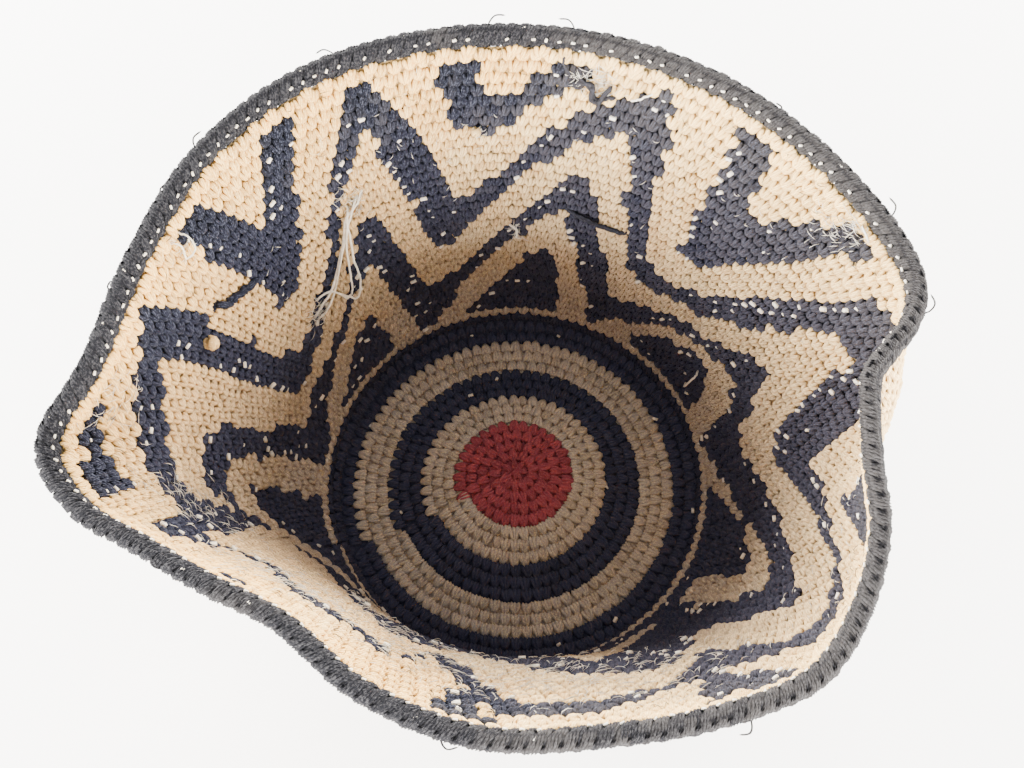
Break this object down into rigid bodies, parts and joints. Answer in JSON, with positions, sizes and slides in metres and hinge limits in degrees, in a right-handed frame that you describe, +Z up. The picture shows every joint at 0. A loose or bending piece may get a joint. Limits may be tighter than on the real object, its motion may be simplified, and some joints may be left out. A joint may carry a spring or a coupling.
{
  "type": "ashetu hat",
  "caption": "Soft crocheted cotton hat with a ringed round crown, zigzag wall and wavy edged brim, lying on its crown with the mouth up.",
  "frame": {"origin": "on the table, under the middle of the hat's bounding box", "axes": "+Z up out of the mouth along the hat's axis, -Y the near side in the picture, +X to its right"},
  "size_m": [0.286, 0.2512, 0.1468],
  "materials": {
    "crochet_cotton": "matt crocheted cotton, cream with faded indigo zigzags and rings and a brick red middle",
    "edging_cotton": "matt crocheted cotton, faded charcoal blue with cream flecks"
  },
  "bodies": {
    "root": {"crocheted_body": "crochet_cotton", "rim_edging": "edging_cotton"}
  },
  "joints": []
}
